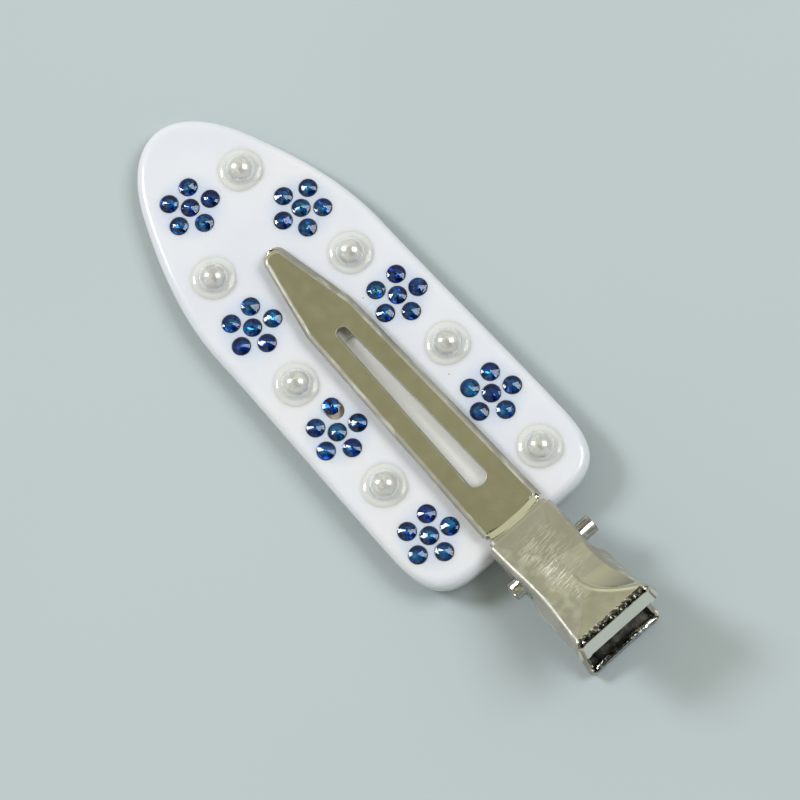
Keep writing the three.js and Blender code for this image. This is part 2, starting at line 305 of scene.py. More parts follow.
def maths(tree, operation, first, second=None):
    """A math node on sockets or plain numbers."""
    node = tree.nodes.new("ShaderNodeMath")
    node.operation = operation
    for socket, value in zip(node.inputs, (first, second)):
        if isinstance(value, (int, float)):
            socket.default_value = value
        elif value is not None:
            tree.links.new(value, socket)
    return node.outputs[0]


def times(tree, first, second):
    return maths(tree, "MULTIPLY", first, second)


def mix(tree, share, first, second, strength=1.0):
    """Two colours, or colour sockets, mixed by share, which strength weakens."""
    if strength != 1.0:
        share = times(tree, share, strength)
    node = tree.nodes.new("ShaderNodeMix")
    node.data_type = "RGBA"
    tree.links.new(share, node.inputs["Factor"])
    for socket, value in ((node.inputs[6], first), (node.inputs[7], second)):
        if isinstance(value, tuple):
            socket.default_value = (*value, 1)
        else:
            tree.links.new(value, socket)
    return node.outputs[2]


def bump(tree, height, distance, strength=1.0, before=None):
    """Adds a bump of so many metres, on top of another one if there is one."""
    node = tree.nodes.new("ShaderNodeBump")
    node.inputs["Distance"].default_value = distance
    node.inputs["Strength"].default_value = strength
    tree.links.new(height, node.inputs["Height"])
    if before:
        tree.links.new(before, node.inputs["Normal"])
    tree.links.new(node.outputs["Normal"], tree.nodes["Principled BSDF"].inputs["Normal"])
    return node.outputs["Normal"]


def near(tree, point, inner, outer):
    """1 within inner millimetres of a point, falling to 0 at outer."""
    distance = tree.nodes.new("ShaderNodeVectorMath")
    distance.operation = "DISTANCE"
    tree.links.new(object_coordinates(tree), distance.inputs[0])
    distance.inputs[1].default_value = Vector(point) * MM
    return remap(tree, distance.outputs["Value"], inner * MM, outer * MM, 1, 0)


def nearest_of(tree, points, inner, outer):
    """1 close to any of the points, in millimetres, falling to 0 at outer."""
    share = near(tree, points[0], inner, outer)
    for point in points[1:]:
        share = maths(tree, "MAXIMUM", share, near(tree, point, inner, outer))
    return share


def height_above(tree):
    """The Z coordinate, in metres."""
    split = tree.nodes.new("ShaderNodeSeparateXYZ")
    tree.links.new(object_coordinates(tree), split.inputs[0])
    return split.outputs["Z"]


def patch(tree, center, half_size, soft):
    """1 inside a soft-edged box about a point, in millimetres, and 0 outside it."""
    split = tree.nodes.new("ShaderNodeSeparateXYZ")
    tree.links.new(object_coordinates(tree), split.inputs[0])
    share = None
    for axis, middle, half in zip("XYZ", center, half_size):
        away = maths(tree, "ABSOLUTE", maths(tree, "SUBTRACT", split.outputs[axis], middle * MM))
        inside = remap(tree, away, (half - soft) * MM, (half + soft) * MM, 1, 0)
        share = inside if share is None else times(tree, share, inside)
    return share


# ------------------------------------------------------------------ materials


def on_plate(node):
    """The middle of a stone or pearl, at the height of the plate's face."""
    center = box_center(node)
    return center.x, center.y, PLATE_TOP


def resin_material():
    """Cool white cast resin: soft flow marks, painted shade making it darker and warmer down its side,
    painted blue light inside each flower, painted grey contact shade round each pearl, painted light
    under the clip's slot, two dark specks."""
    material, tree = new_material("white_resin")
    color = mix(tree, cloud(tree, 120, 3, 0.3, 0.7), (0.745, 0.76, 0.855), (0.775, 0.785, 0.875))
    color = mix(tree, cloud(tree, 60, 2, 0.50, 0.72), color, (0.785, 0.785, 0.845))
    # Painted shade: darker and warmer towards the bottom of the plate's side, where it faces away from
    # the light.
    side = remap(tree, height_above(tree), 1.2 * MM, 1.8 * MM, 0.7, 0)
    color = mix(tree, side, color, (0.72, 0.69, 0.62))
    # Painted light: paler under the slot, lifting the shade the arms cast on the plate there.
    painted_light_under_slot = patch(tree, (PIVOT.x - 21.3, 0.1, PLATE_TOP), (10.6, 1.0, 1.0), 0.5)
    color = mix(tree, painted_light_under_slot, color, (0.95, 0.955, 0.98))
    # Painted blue light from the stones, falling off round each flower.
    flowers = [on_plate(f"flower_{number}_centre") for number in range(1, 8)]
    color = mix(tree, nearest_of(tree, flowers, 1.9, 4.1), color, (0.56, 0.64, 0.86), 0.7)
    pearls = [on_plate(node) for node in PEARLS]
    color = mix(tree, nearest_of(tree, pearls, 2.1, 2.75), color, (0.60, 0.61, 0.57), 0.45)
    specks = nearest_of(tree, [(-0.33, 4.1, PLATE_TOP), (11.65, 5.26, PLATE_TOP)], 0.04, 0.11)
    color = mix(tree, specks, color, (0.16, 0.14, 0.13), 0.8)
    flow = bump(tree, noise(tree, 130, 1), 0.00025, 0.5)
    bump(tree, noise(tree, 2500, 2), 0.000004, 0.5, before=flow)
    return finish(material, color, uneven(tree, 900, 4, 0.10, 0.2), {
        "IOR": 1.5,
        "Subsurface Weight": 0.5,
        "Subsurface Radius": (1.0, 1.0, 1.0),
        "Subsurface Scale": 0.001,
    })


def seat_material():
    """The drilled walls of the seats, painted dark as the shade in the narrow gap round each seated
    stone, and pale where a stone has slipped off.
    """
    material, tree = new_material("drilled_resin")
    stain = cloud(tree, 1500, 3, 0.35, 0.65)
    # Painted shade: the walls of the seated stones' seats are dark for the narrow shaded gap.
    gap_shade = mix(tree, stain, (0.10, 0.09, 0.11), (0.26, 0.23, 0.23))
    bare = mix(tree, stain, (0.66, 0.56, 0.47), (0.86, 0.79, 0.72))
    x, y, z = on_plate(SLIPPED_STONE)
    empty_seat = patch(tree, (x + SLIPPED_SEAT_SHIFT, y, z), (1.2, 1.2, 2.0), 0.1)
    bump(tree, noise(tree, 4000, 2), 0.00002, 0.6)
    return finish(material, mix(tree, empty_seat, gap_shade, bare), uneven(tree, 3000, 2, 0.3, 0.6))


def nickel_material():
    """Bright nickel plate on stamped steel: faint ripples and a stain on the prong, hair-thin rub
    marks on the tab and a group of slanting scratches by the bend."""
    material, tree = new_material("nickel_plate")
    color = mix(tree, cloud(tree, 180, 3, 0.35, 0.65), (0.70, 0.685, 0.60), (0.76, 0.745, 0.66))
    dull = remap(tree, noise(tree, 420, 2), 0.58, 0.72, 0, 0.2)
    color = mix(tree, dull, color, (0.60, 0.58, 0.47))
    stain = times(tree, near(tree, (-1.9, 1.0, 3.15), 0.3, 1.3), cloud(tree, 900, 3, 0.4, 0.6))
    color = mix(tree, stain, color, (0.50, 0.44, 0.31), 0.5)
    rub_place = patch(tree, (PIVOT.x + 0.2, 0.1, 5.6), (3.3, 1.9, 2.6), 1.2)
    tail_place = patch(tree, (PIVOT.x + 4.3, -0.7, 7.0), (1.9, 0.5, 1.6), 0.5)
    rub_place = maths(tree, "MAXIMUM", rub_place, times(tree, tail_place, 0.7))
    strokes = cloud(tree, 1500, 4, 0.47, 0.60, stretch=(5.0, 0.5, 1), turn=0.12, distortion=0.3)
    rub = times(tree, rub_place, strokes)
    color = mix(tree, rub, color, (0.97, 0.93, 0.90), 0.7)
    scratch_place = patch(tree, (PIVOT.x - 7.6, 0.2, 3.2), (1.0, 1.9, 0.5), 0.5)
    lines = cloud(tree, 1300, 2, 0.60, 0.66, stretch=(0.5, 4.0, 1), turn=0.62)
    scratch = times(tree, scratch_place, lines)
    color = mix(tree, scratch, color, (0.30, 0.27, 0.20), 0.55)
    rough = maths(tree, "ADD", uneven(tree, 800, 4, 0.10, 0.18), times(tree, rub, 0.1))
    rough = maths(tree, "ADD", rough, times(tree, scratch, 0.2))
    ripple = bump(tree, noise(tree, 260, 2), 0.00003, 0.6)
    bump(tree, rub, 0.000006, 0.7, before=ripple)
    return finish(material, color, rough, METAL)


def streaks(tree):
    """Streaks drawn out across the sheet where it was folded."""
    return cloud(tree, 1100, 3, 0.54, 0.66, stretch=(0.4, 1, 2.5))


def worked_shaded_nickel():
    """The pin's plating, stretched where the tube was rolled, and painted darker than the arms' nickel
    as shade.
    """
    material, tree = new_material("worked_shaded_nickel")
    # Painted shade: a darker copy of the nickel.
    color = mix(tree, cloud(tree, 320, 3, 0.35, 0.65), (0.37, 0.355, 0.32), (0.48, 0.465, 0.425))
    color = mix(tree, streaks(tree), color, (0.80, 0.79, 0.74), 0.5)
    bump(tree, noise(tree, 900, 3, (0.5, 1, 1)), 0.00005, 0.8)
    return finish(material, color, uneven(tree, 900, 4, 0.14, 0.26), METAL)


def dull_shaded_nickel():
    """Dull, rough plating on the rolled rims, the tab's side folds and walls, and the cut edges,
    painted darker than the bright nickel as the shade these faces show.
    """
    material, tree = new_material("dull_shaded_nickel")
    # Painted shade: darker than the bright nickel.
    color = mix(tree, cloud(tree, 260, 3, 0.35, 0.65), (0.33, 0.315, 0.28), (0.43, 0.415, 0.375))
    color = mix(tree, streaks(tree), color, (0.52, 0.51, 0.47))
    bump(tree, noise(tree, 900, 3, (0.5, 1, 1)), 0.00005, 0.8)
    return finish(material, color, uneven(tree, 800, 2, 0.34, 0.46), {"Metallic": 0.45})


def lip_material():
    """Nickel plate crumpled by the tight fold at the end of a tab, with dark flecks painted as the
    shade in its crumples.
    """
    material, tree = new_material("crumpled_nickel")
    # Painted shade: the dark flecks stand for shade in the crumples.
    color = mix(tree, cloud(tree, 2900, 4, 0.47, 0.63), (0.15, 0.145, 0.13), (0.78, 0.78, 0.77))
    bump(tree, noise(tree, 1900, 2, (1, 0.6, 1)), 0.00010, 1.0)
    return finish(material, color, uneven(tree, 1500, 3, 0.08, 0.2), METAL)


def inner_material():
    """The inside of the steel, thinly plated and painted near black as the shade inside the tab."""
    material, tree = new_material("shaded_inner_steel")
    # Painted shade: near black for the inside of the tab.
    color = mix(tree, cloud(tree, 600, 3, 0.35, 0.65), (0.07, 0.068, 0.06), (0.17, 0.165, 0.145))
    bump(tree, noise(tree, 500, 2), 0.00003, 0.6)
    return finish(material, color, uneven(tree, 900, 3, 0.16, 0.34), METAL)


def spring_material():
    """Plain rolled spring steel, with its grain along the strip."""
    material, tree = new_material("spring_steel")
    grain = noise(tree, 2500, 3, (0.15, 1, 0.15))
    color = mix(tree, remap(tree, grain, 0.3, 0.7), (0.36, 0.36, 0.35), (0.55, 0.54, 0.52))
    bump(tree, grain, 0.000005, 0.6)
    return finish(material, color, remap(tree, grain, 0.3, 0.7, 0.25, 0.45), METAL)


def sapphire_glass():
    """The clear blue body of a stone."""
    material, tree = new_material("sapphire_glass")
    color = mix(tree, cloud(tree, 500, 2, 0.35, 0.65), (0.52, 0.76, 0.93), (0.62, 0.86, 0.97))
    bump(tree, noise(tree, 3000, 2), 0.000003, 0.4)
    return finish(material, color, 0.02, {"IOR": 1.54, "Transmission Weight": 1.0})


def sapphire_foil():
    """The blue foil on a stone's back, which is what makes it flash."""
    material, tree = new_material("sapphire_foil")
    color = mix(tree, cloud(tree, 650, 2, 0.4, 0.6), (0.012, 0.095, 0.43), (0.03, 0.31, 0.64))
    return finish(material, color, uneven(tree, 2000, 2, 0.08, 0.16), METAL)


def nacre_material():
    """Imitation pearl: a glossy milky coat with soft streaks, and a greyer swirl painted round each top
    as a dark reflection.
    """
    material, tree = new_material("pearl_nacre")
    streak = cloud(tree, 520, 3, 0.36, 0.64, stretch=(1, 1, 2), distortion=1.5)
    color = mix(tree, streak, (0.67, 0.68, 0.69), (0.82, 0.83, 0.84))
    tops = [(*on_plate(node)[:2], PLATE_TOP + 1.5) for node in PEARLS]
    swirl = cloud(tree, 800, 2, 0.4, 0.6, distortion=2.0)
    # Painted reflection: greyer round each pearl's top.
    painted_dark_reflection = mix(tree, swirl, (0.42, 0.415, 0.41), (0.70, 0.695, 0.69))
    color = mix(tree, nearest_of(tree, tops, 0.2, 1.5), color, painted_dark_reflection, 0.6)
    bump(tree, noise(tree, 500, 2, distortion=0.8), 0.00005, 0.5)
    return finish(material, color, uneven(tree, 1200, 3, 0.14, 0.28), {
        "Coat Weight": 1.0,
        "Coat Roughness": 0.08,
        "Metallic": 0.3,
        "Specular IOR Level": 0.8,
    })


def collar_material():
    """The milky gel that holds a pearl."""
    material, tree = new_material("milky_gel")
    color = mix(tree, cloud(tree, 500, 2, 0.35, 0.65), (0.785, 0.80, 0.80), (0.82, 0.835, 0.85))
    bump(tree, noise(tree, 700, 2), 0.00005, 0.5)
    rough = uneven(tree, 1400, 2, 0.06, 0.14)
    return finish(material, color, rough, {"IOR": 1.46, "Transmission Weight": 0.15})


def adhesive_material():
    """The cured glue between the plate and the lower prong."""
    material, tree = new_material("cured_glue")
    color = mix(tree, cloud(tree, 700, 3, 0.35, 0.65), (0.62, 0.60, 0.52), (0.78, 0.77, 0.72))
    bump(tree, noise(tree, 900, 2), 0.00003, 0.5)
    return finish(material, color, uneven(tree, 1500, 2, 0.2, 0.4))


def floor_material():
    """A plain pale tabletop with the faintest mottling."""
    material, tree = new_material("pale_floor")
    color = mix(tree, cloud(tree, 14, 2, 0.3, 0.7), (0.47, 0.53, 0.575), (0.485, 0.545, 0.59))
    return finish(material, color, 0.85)


# ------------------------------------------------------------------ plate


def bezier(a, b, c, d, t):
    """A point of a cubic curve."""
    s = 1 - t
    return a * s**3 + 3 * b * s * s * t + 3 * c * s * t * t + d * t**3


def plate_outline(steps=26):
    """The plate's edge from above, counter-clockwise from the nose: blunt nose, long shoulders,
    nearly straight sides and two round lobes at the tail."""
    length = PLATE_HIGH.x - PLATE_LOW.x
    corners = [
        [(0, 0), (0, 3.0), (2.93, 5.46), (6.5, 7.0)],
        [(6.5, 7.0), (9.9, 8.47), (16.4, 11.1), (23.0, 11.1)],
        [(23.0, 11.1), (32.0, 11.1), (42.0, 11.5), (51.0, 11.5)],
        [(51.0, 11.5), (55.6, 11.5), (length, 10.2), (length, 6.0)],
    ]
    side = []
    for curve in corners:
        points = [Vector(point) for point in curve]
        side += [bezier(*points, step / steps) for step in range(steps)]
    tail = [Vector((length, y)) for y in (6.0, 3.0, 0.0)]
    lower = [Vector((point.x, -point.y)) for point in side + tail]
    upper = [Vector((point.x, point.y)) for point in reversed(side[1:] + tail[:-1])]
    return [Vector((PLATE_LOW.x + point.x, point.y)) for point in lower + upper]


def inset(outline, amount):
    """The outline moved in by amount, square to itself."""
    moved = []
    for i, point in enumerate(outline):
        along = (outline[(i + 1) % len(outline)] - outline[i - 1]).normalized()
        moved.append(point + Vector((-along.y, along.x)) * amount)
    return moved


def plate_rings():
    """(inset, height) pairs up the plate's edge: a small round below, a full one on top."""
    low_round, top_round, steps = 0.7, 1.05, 7
    rings = []
    for step in range(steps + 1):
        angle = math.pi / 2 * step / steps
        rings.append((low_round * (1 - math.sin(angle)), low_round * (1 - math.cos(angle))))
    for step in range(steps + 1):
        angle = math.pi / 2 * step / steps
        height = PLATE_TOP - top_round * (1 - math.sin(angle))
        rings.append((top_round * (1 - math.cos(angle)), height))
    return rings


def seat_places():
    """The centre of every stone's seat. One stone has slipped off its seat."""
    places = []
    for node in STONES:
        center = box_center(node)
        shift = SLIPPED_SEAT_SHIFT if node == SLIPPED_STONE else 0
        places.append((center.x + shift, center.y))
    return places


def seat_cutter(name, places, radius, material):
    """One mesh of flat-bottomed drills, each with a slight countersink."""
    soften = 0.04
    profile = [
        (radius, -SEAT_DEPTH), (radius, -soften * 1.4), (radius + soften * 0.3, -soften * 0.4),
        (radius + soften, 0.0), (radius + soften, 0.3),
    ]
    points, faces = [], []
    for x, y in places:
        drill_points, drill_faces = lathe(profile, 40, (x, y, PLATE_TOP))
        faces += [tuple(i + len(points) for i in face) for face in drill_faces]
        points += drill_points
    return new_object(name, points, faces, [material])


def make_plate(resin, drilled):
    """The slab of resin with a seat drilled for every stone and pearl."""
    outline = plate_outline()
    rings = plate_rings()
    points = [(p.x, p.y, height) for amount, height in rings for p in inset(outline, amount)]
    piece = new_object("plate_body", points, tube_faces(len(rings), len(outline)), [resin, drilled])
    point_normals_out(piece)
    stone_seats = seat_cutter("stone_drills", seat_places(), SEAT_RADIUS, drilled)
    pearl_places = [tuple(box_center(node).xy) for node in PEARLS]
    pearl_seats = seat_cutter("pearl_drills", pearl_places, PEARL_RADIUS + 0.06, resin)
    cut(piece, [stone_seats, pearl_seats])
    keep_flats_flat(piece)
    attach(piece, STATIC_BODY)
    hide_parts("plate")


# ------------------------------------------------------------------ stones and pearls


def stone_shape(rng):
    """Points, faces and material slots of one pointed stone: twelve long facets from a low point to
    the girdle, broken by a ring of small ones, in glass, and an uneven foiled cone behind."""
    facets = 12
    apex_height = 0.44
    inner_radius, inner_height = 0.62, 0.25
    girdle_top, girdle_base = 0.12, 0.02
    back_start, back_depth = -0.08, -0.40
    points = [(rng.uniform(-0.03, 0.03), rng.uniform(-0.03, 0.03), apex_height)]

    def add_ring(radius, height, unevenness):
        first = len(points)
        for i in range(facets):
            angle = 2 * math.pi * i / facets
            lift = rng.uniform(-unevenness, unevenness)
            points.append((radius * math.cos(angle), radius * math.sin(angle), height + lift))
        return lambda i: first + i % facets

    inner = add_ring(inner_radius, inner_height, 0.02)
    top = add_ring(STONE_RADIUS, girdle_top, 0.0)
    base = add_ring(STONE_RADIUS, girdle_base, 0.0)
    back = add_ring(STONE_RADIUS - 0.03, back_start, 0.06)
    back_apex = len(points)
    points.append((rng.uniform(-0.1, 0.1), rng.uniform(-0.1, 0.1), back_depth))
    faces, slots = [], []
    for i in range(facets):
        faces.append((0, inner(i), inner(i + 1)))
        faces.append((inner(i), top(i), inner(i + 1)))
        faces.append((inner(i + 1), top(i), top(i + 1)))
        faces.append((top(i), base(i), base(i + 1), top(i + 1)))
        faces.append((base(i), back(i), back(i + 1), base(i + 1)))
        faces.append((back(i), back_apex, back(i + 1)))
        slots += [0, 0, 0, 0, 1, 1]
    return points, faces, slots


def make_stones(glass, foil):
    """Every stone, turned and leaning a little at random. The slipped one lies on the plate's
    face, so it is flatter."""
    rng = random.Random(7)
    for node in STONES:
        points, faces, slots = stone_shape(rng)
        if node == SLIPPED_STONE:
            points = [
                (x, y, SLIPPED_LIFT + z * (0.8 if z > 0 else 0.38)) for x, y, z in points
            ]
        turn = Matrix.Rotation(rng.uniform(0, 2 * math.pi), 3, "Z")
        lean = Matrix.Rotation(rng.uniform(-0.05, 0.05), 3, "X")
        placed = [turn @ lean @ Vector(point) + Vector(on_plate(node)) for point in points]
        piece = new_object(f"{node}_stone", placed, faces, [glass, foil], 0, slots)
        point_normals_out(piece)
        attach(piece, STATIC_BODY)
        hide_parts(node)


def make_pearl(node, nacre):
    """A half pearl, with a plain stem down into its seat."""
    rise = box_mm(node)[1].z - PLATE_TOP
    steps = 14
    profile = [(0.6, -0.8), (PEARL_RADIUS * 0.93, -0.7), (PEARL_RADIUS, -0.1)]
    for step in range(steps):
        angle = math.pi / 2 * step / steps
        profile.append((PEARL_RADIUS * math.cos(angle), rise * math.sin(angle)))
    profile.append((0.05, rise * 0.999))
    points, faces = lathe(profile, 48, on_plate(node))
    dome = new_object(f"{node}_dome", points, faces, [nacre], 60)
    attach(dome, STATIC_BODY)
    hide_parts(node)


def make_collar(node, rng, gel):
    """The uneven ring of gel that a pearl sits in."""
    phases = [rng.uniform(0, 2 * math.pi) for _ in range(3)]

    def wave(angle):
        swell = sum(0.03 * math.cos((k + 1) * angle + phase) for k, phase in enumerate(phases))
        return 1 + 0.5 * swell

    outside = [(0.03, 0.01), (0.07, 0.04), (0.16, 0.10), (0.28, 0.16), (0.41, 0.21), (0.54, 0.26)]
    profile = [(PEARL_RADIUS - 0.25, 0.01)]
    profile += [(COLLAR_RADIUS - inward, height) for inward, height in outside]
    profile += [
        (PEARL_RADIUS + 0.07, 0.34), (PEARL_RADIUS - 0.02, 0.46), (PEARL_RADIUS - 0.12, 0.56),
    ]
    sides = 64
    points, _ = lathe(profile, sides, on_plate(node), wobble=wave)
    faces = ring_faces(len(profile), sides)
    top = len(points) - sides
    for i in range(sides):
        after = (i + 1) % sides
        faces.append((i, top + i, top + after, after))
    ring = new_object(f"{node}_collar", points, faces, [gel], 70)
    point_normals_out(ring)
    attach(ring, STATIC_BODY)


# ------------------------------------------------------------------ steel arms


def arm_path(arm):
    """The middle of an arm's sheet from the side, as a function of the distance along it: prong, a
    bend in two creases, and tab. Gives x, z and the angle the sheet has turned, from the pivot."""
    crease = 0.08
    legs = [
        (arm["bend"] - arm["tip"], 0.0),
        (crease, TAB_SLOPE / 2),
        (BEND_LENGTH - 2 * crease, 0.0),
        (crease, TAB_SLOPE / 2),
        (arm["tab"], 0.0),
    ]

    def place(distance):
        left, turn = distance, 0.0
        x, z = arm["tip"], (PRONG_GAP + SHEET) / 2
        for length, whole_turn in legs:
            run = min(left, length)
            bent = whole_turn * run / length
            middle = turn + bent / 2
            chord = run if bent == 0 else run * math.sin(bent / 2) / (bent / 2)
            x += chord * math.cos(middle)
            z += chord * math.sin(middle)
            turn += bent
            left -= run
            if left <= 0:
                break
        return x, z, turn

    return place


def arm_marks(arm):
    """Distances along the sheet at which it changes, that of the foot of a square from the pivot,
    and the length of that square."""
    bend_start = arm["bend"] - arm["tip"]
    tab_start = bend_start + BEND_LENGTH
    x, z, turn = arm_path(arm)(tab_start)
    foot = tab_start - (x * math.cos(turn) + z * math.sin(turn))
    foot_x, foot_z, _ = arm_path(arm)(foot)
    drop = math.hypot(foot_x, foot_z)
    return {"bend_start": bend_start, "tab_start": tab_start, "foot": foot, "drop": drop}


def smooth_step(low, high, value):
    """0 below low and 1 above high, with a smooth rise between them."""
    t = min(1.0, max(0.0, (value - low) / (high - low)))
    return t * t * (3 - 2 * t)


def prong_half(distance, marks):
    """Half the prong's width."""
    if distance < TIP_RADIUS:
        return math.sqrt(max(1e-4, TIP_RADIUS**2 - (TIP_RADIUS - distance) ** 2))
    if distance < SHOULDER:
        share = (distance - TIP_RADIUS) / (SHOULDER - TIP_RADIUS)
        return TIP_RADIUS + (SHOULDER_HALF - TIP_RADIUS) * share
    share = min(1.0, (distance - SHOULDER) / (marks["bend_start"] - SHOULDER))
    return SHOULDER_HALF + (ROOT_HALF - SHOULDER_HALF) * share


def rim_drop(from_edge):
    """How far the sheet has rolled down, at a distance in from its outline."""
    if from_edge >= RIM_WIDTH:
        return 0.0
    return RIM_RADIUS - math.sqrt(RIM_RADIUS**2 - (RIM_WIDTH - from_edge) ** 2)


# Steps across the sheet from its middle: over the flat, round the fold and down the wall.
FLAT_STEPS = 26
FOLD_STEPS = 7
WALL_STEPS = 4
HALF_STEPS = FLAT_STEPS + FOLD_STEPS + WALL_STEPS
EDGE_SHARE = 0.985

# Rows of points in the tab: along a side, round the corner and over half the end.
SIDE_ROWS = 84
CORNER_ROWS = 9
END_ROWS = 24


def prong_point(distance, step, marks):
    """Across and inward position of the sheet's middle in the prong, and its slope."""
    half = prong_half(distance, marks)
    rim = min(RIM_WIDTH, half * 0.9)
    count = abs(step)
    if count <= FLAT_STEPS:
        across = (half - rim) * count / FLAT_STEPS
    else:
        across = half - rim * (HALF_STEPS - count) / (HALF_STEPS - FLAT_STEPS)
    from_edge = half - across
    if distance < TIP_RADIUS:
        from_edge = TIP_RADIUS - math.hypot(TIP_RADIUS - distance, across)
    from_edge = max(0.0, from_edge)
    slope = 0.0
    if from_edge < RIM_WIDTH:
        slope = math.asin((RIM_WIDTH - from_edge) / RIM_RADIUS)
    return across, rim_drop(from_edge), slope


def prong_place(distance, step, marks, path):
    """Place and outward direction of the sheet in the prong and the bend. The bend bows towards
    the prong's tip at both sides."""
    across, inward, slope = prong_point(distance, step, marks)
    x, _, _ = path(distance)
    bow = BEND_BOW * (across / ROOT_HALF) ** 2
    _, z, turn = path(distance + bow)
    z -= bow * math.sin(turn)
    flat = math.cos(slope)
    outward = Vector((-flat * math.sin(turn), math.sin(slope), flat * math.cos(turn)))
    return Vector((x + inward * math.sin(turn), across, z - inward * math.cos(turn))), outward


def soft_ramp(value, soft):
    """0 below 0, rising by 1 for 1 above it, with a rounded start."""
    if value <= 0:
        return 0.0
    return value * value / (2 * soft) if value < soft else value - soft / 2


def tab_drop(along, across, tab, side):
    """How far the tab's skin lies below a plain slope. It has a ridge across its middle, and falls
    away outside two creases that meet there and open to its four corners."""
    front_crease = FRONT_CREASE_HALF * max(0.0, 1 - along / FRONT_CREASE_LENGTH)
    end_crease = END_CREASE_HALF * max(0.0, (along - RIDGE_PLACE) / END_CREASE_LENGTH) ** 2.6
    beyond = abs(across) - max(0.12, front_crease, end_crease)
    if along < RIDGE_PLACE:
        ridge = RIDGE_RISE * (along / RIDGE_PLACE)
    else:
        ridge = RIDGE_RISE * (tab - along) / (tab - RIDGE_PLACE)
    bead = BEAD_HEIGHT * math.exp(-((beyond / BEAD_WIDTH) ** 2)) * smooth_step(0.3, 1.5, along)
    fall = FACET_SLOPES[side] * soft_ramp(beyond, CREASE_SOFTNESS)
    return fall - ridge - (bead if side > 0 else 0.0)


def tab_end(arm):
    """Where the flat of the tab stops and the lip's fold starts."""
    return arm["tab"] - arm["setback"]


def waist(along):
    """1 at the tab's narrow middle, falling to 0 towards its ends."""
    return math.exp(-(((along - WAIST_PLACE) / 3.4) ** 2)) * (1 - smooth_step(12.0, 14.2, along))


def tab_half(along, arm, side=1):
    """Half the width of the tab between its side folds: waisted, then wider towards the end."""
    widen = min(1.0, max(0.0, (along / arm["tab"] - 0.35) / 0.65))
    straight = arm["ear_crease"] + (arm["end_crease"] - arm["ear_crease"]) * widen
    return straight - WAIST_DEPTH[side] * waist(along)


def tab_border(run, arm, side=1):
    """Along and across place of the fold line, and the direction square to it, at a distance
    along a side, round the corner and back to the middle of the end."""
    half = tab_half(tab_end(arm), arm)
    straight = tab_end(arm) - CORNER_RADIUS
    arc = CORNER_RADIUS * math.pi / 2
    if run <= straight:
        return run, tab_half(run, arm, side), 0.0, 1.0
    if run > straight + arc:
        return tab_end(arm), max(0.0, half - CORNER_RADIUS - (run - straight - arc)), 1.0, 0.0
    angle = (run - straight) / CORNER_RADIUS
    ahead, aside = math.sin(angle), math.cos(angle)
    along = straight + CORNER_RADIUS * ahead
    return along, half - CORNER_RADIUS + CORNER_RADIUS * aside, ahead, aside


def border_length(arm):
    """How long the fold line is, from the start of the tab to the middle of its end."""
    arc = CORNER_RADIUS * math.pi / 2
    return tab_end(arm) - CORNER_RADIUS + arc + tab_half(tab_end(arm), arm) - CORNER_RADIUS


def wall_depth(run, marks, arm):
    """How deep the folded wall hangs: the ear, a notch behind it down to a stub, the side flange
    and the lip."""
    stub = FOLD_RADIUS + 0.25
    from_foot = marks["tab_start"] + run - marks["foot"]
    begin = smooth_step(0.35, 0.6, run)
    ear = 0.0
    if abs(from_foot) < arm["ear_radius"]:
        ear = math.sqrt(arm["ear_radius"] ** 2 - from_foot**2)
    if from_foot < arm["ear_radius"]:
        front = run / (marks["foot"] - arm["ear_radius"] - marks["tab_start"])
        deeper = marks["drop"] - EAR_FRONT_DEPTH
        reach = EAR_FRONT_DEPTH + deeper * min(1.0, max(0.0, front)) + ear
    else:
        behind = smooth_step(arm["ear_radius"] + 0.5, arm["ear_radius"] + 1.3, from_foot)
        reach = stub + 0.1 + (FLANGE_DEPTH - stub - 0.1) * behind
    _, across, _, _ = tab_border(run, arm)
    lip = LIP_DEPTH + arm["lip_bow"] * (1 - (across / arm["end_crease"]) ** 2)
    at_end = smooth_step(tab_end(arm) - 1.8, tab_end(arm), run)
    reach += (lip - reach) * at_end
    return stub + (reach - stub) * begin


def wall_angle(run, arm, side):
    """How far the wall is folded down from the tab. It leans out most at the waist."""
    flare = END_FLARE * smooth_step(4.6, arm["tab"], run)
    flare += WAIST_FLARE[side] * waist(run) * smooth_step(5.2, 7.5, run)
    corner = tab_end(arm) - CORNER_RADIUS
    at_end = smooth_step(corner, corner + CORNER_RADIUS * math.pi / 2, run)
    return math.radians(90 - flare + (arm["lip_angle"] - 90 + flare) * at_end)


